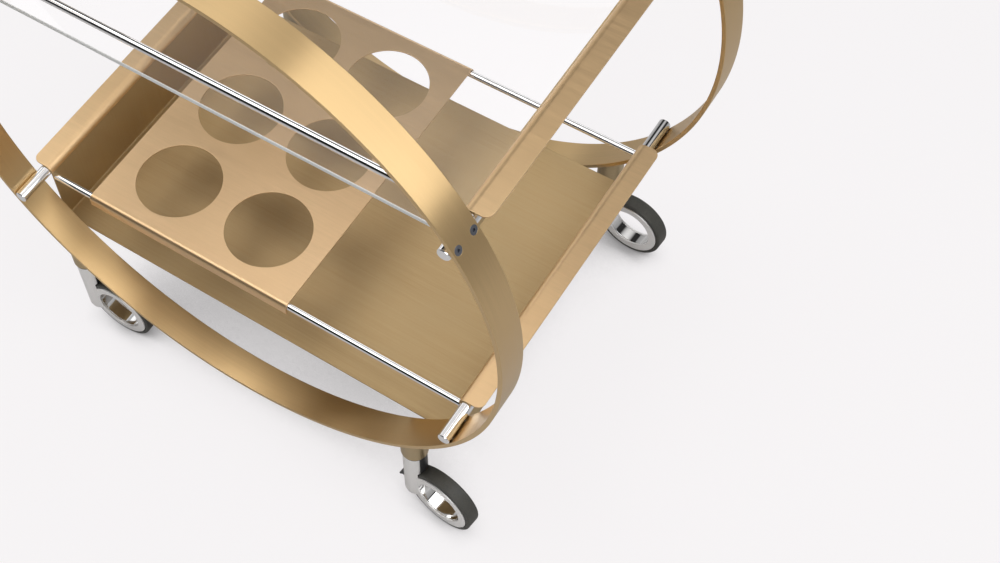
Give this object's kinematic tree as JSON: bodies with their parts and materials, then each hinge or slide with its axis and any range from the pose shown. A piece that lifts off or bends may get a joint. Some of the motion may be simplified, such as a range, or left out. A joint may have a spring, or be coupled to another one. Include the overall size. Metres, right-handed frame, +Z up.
{
  "type": "bar cart",
  "caption": "Bar cart with two round hoops, a lower tray with a sliding bottle holder, a glass shelf above and hubless swivel casters.",
  "frame": {"origin": "on the floor under the middle of the cart", "axes": "+Z up, +Y from the front hoop to the rear hoop, +X to the right as seen from the front"},
  "size_m": [0.6999, 0.47, 0.7631],
  "materials": {
    "brass_finish": "brushed brass-coloured finish",
    "polished_steel": "polished",
    "screw_steel": "bright",
    "satin_silver": "satin",
    "black_plastic": "matte",
    "chrome": "polished",
    "grey_nylon": "matte",
    "tyre": "matte",
    "glass": "clear",
    "clear_pad": "clear"
  },
  "bodies": {
    "frame": {"hoop_front": "brass_finish", "hoop_rear": "brass_finish", "cross_rod_lower_left": "polished_steel", "cross_rod_lower_right": "polished_steel", "cross_rod_upper_left": "polished_steel", "cross_rod_upper_right": "polished_steel", "hoop_screws": "screw_steel", "lower_tray": "brass_finish", "rail_lower_front": "polished_steel", "rail_lower_rear": "polished_steel", "rail_upper_front": "polished_steel", "rail_upper_rear": "polished_steel", "rail_screws": "screw_steel", "shelf_bracket_left": "brass_finish", "shelf_bracket_right": "brass_finish", "glass_shelf": "glass", "shelf_pads": "clear_pad", "post_front_left": "brass_finish", "post_front_right": "brass_finish", "post_rear_left": "brass_finish", "post_rear_right": "brass_finish", "stem_front_left": "screw_steel", "stem_front_right": "screw_steel", "stem_rear_left": "screw_steel", "stem_rear_right": "screw_steel", "thrust_washers": "black_plastic"},
    "bottle_holder": {"bottle_holder": "brass_finish"},
    "caster_front_left": {"outer_shell_front_left": "satin_silver", "inner_shell_front_left": "satin_silver", "core_front_left": "black_plastic", "bore_ring_front_left": "chrome"},
    "wheel_front_left": {"wheel_core_front_left": "grey_nylon", "tyre_front_left": "tyre"},
    "caster_front_right": {"outer_shell_front_right": "satin_silver", "inner_shell_front_right": "satin_silver", "core_front_right": "black_plastic", "bore_ring_front_right": "chrome", "brake_pin_front_right": "screw_steel"},
    "brake_front_right": {"brake_lever_front_right": "black_plastic"},
    "wheel_front_right": {"wheel_core_front_right": "grey_nylon", "tyre_front_right": "tyre"},
    "caster_rear_left": {"outer_shell_rear_left": "satin_silver", "inner_shell_rear_left": "satin_silver", "core_rear_left": "black_plastic", "bore_ring_rear_left": "chrome"},
    "wheel_rear_left": {"wheel_core_rear_left": "grey_nylon", "tyre_rear_left": "tyre"},
    "caster_rear_right": {"outer_shell_rear_right": "satin_silver", "inner_shell_rear_right": "satin_silver", "core_rear_right": "black_plastic", "bore_ring_rear_right": "chrome", "brake_pin_rear_right": "screw_steel"},
    "brake_rear_right": {"brake_lever_rear_right": "black_plastic"},
    "wheel_rear_right": {"wheel_core_rear_right": "grey_nylon", "tyre_rear_right": "tyre"}
  },
  "joints": [
    {"name": "bottle_holder_slide", "type": "slide", "parent": "frame", "child": "bottle_holder", "axis": [1, 0, 0], "range_m": [-0.0543, 0.2193]},
    {"name": "swivel_front_left", "type": "hinge", "parent": "frame", "child": "caster_front_left", "pos_m": [-0.23192, -0.21525, 0.117], "axis": [0, 0, 1], "continuous": true},
    {"name": "spin_front_left", "type": "hinge", "parent": "caster_front_left", "child": "wheel_front_left", "pos_m": [-0.19292, -0.21491, 0.0435], "axis": [-0.0087, 1, 0], "continuous": true},
    {"name": "swivel_front_right", "type": "hinge", "parent": "frame", "child": "caster_front_right", "pos_m": [0.23192, -0.21525, 0.117], "axis": [0, 0, 1], "continuous": true},
    {"name": "spin_front_right", "type": "hinge", "parent": "caster_front_right", "child": "wheel_front_right", "pos_m": [0.27063, -0.22, 0.0435], "axis": [0.1219, 0.9925, 0], "continuous": true},
    {"name": "brake_front_right", "type": "hinge", "parent": "caster_front_right", "child": "brake_front_right", "pos_m": [0.22214, -0.21405, 0.052], "axis": [-0.1219, -0.9925, 0], "range_deg": [0, 12]},
    {"name": "swivel_rear_left", "type": "hinge", "parent": "frame", "child": "caster_rear_left", "pos_m": [-0.23192, 0.21525, 0.117], "axis": [0, 0, 1], "continuous": true},
    {"name": "spin_rear_left", "type": "hinge", "parent": "caster_rear_left", "child": "wheel_rear_left", "pos_m": [-0.19294, 0.21661, 0.0435], "axis": [-0.0349, 0.9994, 0], "continuous": true},
    {"name": "swivel_rear_right", "type": "hinge", "parent": "frame", "child": "caster_rear_right", "pos_m": [0.23192, 0.21525, 0.117], "axis": [0, 0, 1], "continuous": true},
    {"name": "spin_rear_right", "type": "hinge", "parent": "caster_rear_right", "child": "wheel_rear_right", "pos_m": [0.27082, 0.21253, 0.0435], "axis": [0.0698, 0.9976, 0], "continuous": true},
    {"name": "brake_rear_right", "type": "hinge", "parent": "caster_rear_right", "child": "brake_rear_right", "pos_m": [0.22209, 0.21594, 0.052], "axis": [-0.0698, -0.9976, 0], "range_deg": [0, 12]}
  ]
}
